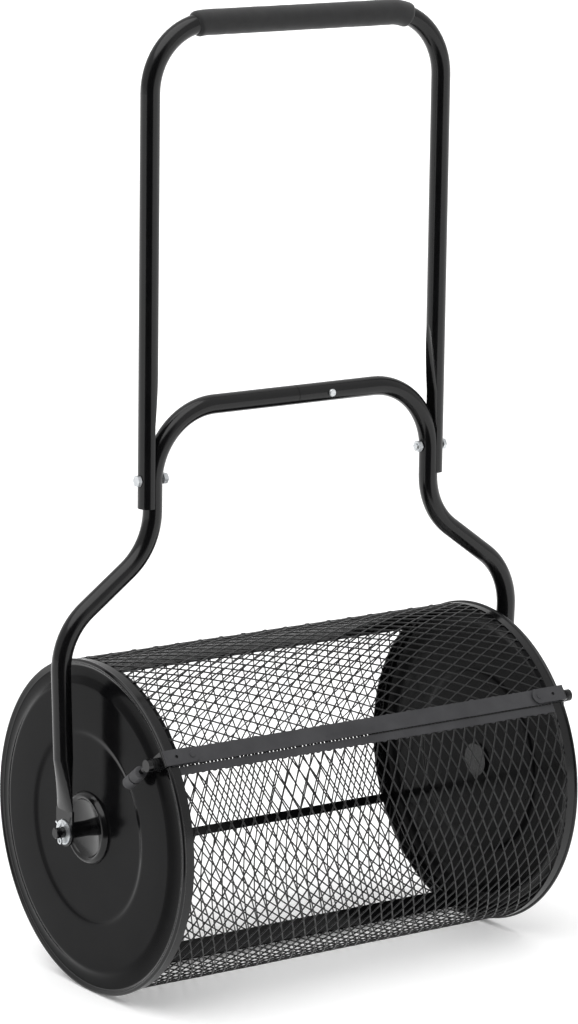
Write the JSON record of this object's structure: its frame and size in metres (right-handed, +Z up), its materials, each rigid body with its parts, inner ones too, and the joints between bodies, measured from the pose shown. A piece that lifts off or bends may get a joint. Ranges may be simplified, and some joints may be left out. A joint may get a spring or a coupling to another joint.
{
  "type": "rolling compost spreader drum",
  "caption": "Cylindrical expanded-mesh drum with a latched hinged door, turning between the arms of a tube fork with a tall U-shaped push handle and foam grip.",
  "frame": {"origin": "on the floor, straight under the middle of the drum, with the drum standing on its two rims and the handle upright", "axes": "+X along the drum's axle towards the right disc as seen from the front; -Y is the front, the side with the door's latched edge; +Z up"},
  "size_m": [0.7284, 0.43, 1.2389],
  "materials": {
    "coated_steel": "gloss black powder coat",
    "coated_steel_sheet": "satin black powder coat",
    "zinc_steel": "bright zinc plate",
    "foam": "matt closed-cell foam",
    "sleeve": "dull dark grey sleeve"
  },
  "bodies": {
    "frame": {"handle_tube": "coated_steel", "foam_grip": "foam", "fork_left": "coated_steel", "fork_right": "coated_steel", "crossbar_screw": "zinc_steel", "leg_bolts": "zinc_steel", "leg_nuts": "zinc_steel"},
    "drum": {"axle_left": "coated_steel", "axle_right": "coated_steel", "axle_washers": "zinc_steel", "body_front_strip": "coated_steel_sheet", "body_hinge_strip": "coated_steel_sheet", "body_mesh": "coated_steel_sheet", "cotter_pins": "zinc_steel", "drum_hinge_leaves": "coated_steel", "drum_hinge_rivets": "coated_steel", "end_disc_left": "coated_steel", "end_disc_right": "coated_steel", "hinge_pins": "zinc_steel", "hub_cup_left": "coated_steel", "hub_cup_right": "coated_steel", "rear_bar": "coated_steel_sheet", "seam_strip": "coated_steel_sheet", "spacer_tubes": "coated_steel"},
    "door": {"door_mesh": "coated_steel_sheet", "door_front_strip": "coated_steel_sheet", "door_rear_strip": "coated_steel_sheet", "door_end_bands": "coated_steel_sheet", "door_backing_sheet": "coated_steel_sheet", "door_hinge_leaves": "coated_steel", "door_hinge_rivets": "coated_steel", "latch_plate_left": "coated_steel_sheet", "latch_plate_right": "coated_steel_sheet", "latch_rivets": "coated_steel", "latch_barrel_left": "coated_steel", "latch_barrel_right": "coated_steel"},
    "pin_left": {"latch_bolt_left": "coated_steel", "latch_grip_left": "sleeve", "latch_spring_left": "zinc_steel"},
    "pin_right": {"latch_bolt_right": "coated_steel", "latch_grip_right": "sleeve", "latch_spring_right": "zinc_steel"}
  },
  "joints": [
    {"name": "drum_spin", "type": "hinge", "parent": "frame", "child": "drum", "pos_m": [0, 0, 0.215], "axis": [1, 0, 0], "continuous": true},
    {"name": "door_hinge", "type": "hinge", "parent": "drum", "child": "door", "pos_m": [0, 0.14401, 0.37893], "axis": [-1, 0, 0], "range_deg": [0, 21]},
    {"name": "latch_left", "type": "slide", "parent": "door", "child": "pin_left", "axis": [-1, 0, 0], "range_m": [0, 0.0025], "stiffness_N_per_m": 300, "springref_m": -0.004, "deforming": ["latch_spring_left"]},
    {"name": "latch_right", "type": "slide", "parent": "door", "child": "pin_right", "axis": [1, 0, 0], "range_m": [0, 0.0025], "stiffness_N_per_m": 300, "springref_m": -0.004, "deforming": ["latch_spring_right"]}
  ]
}
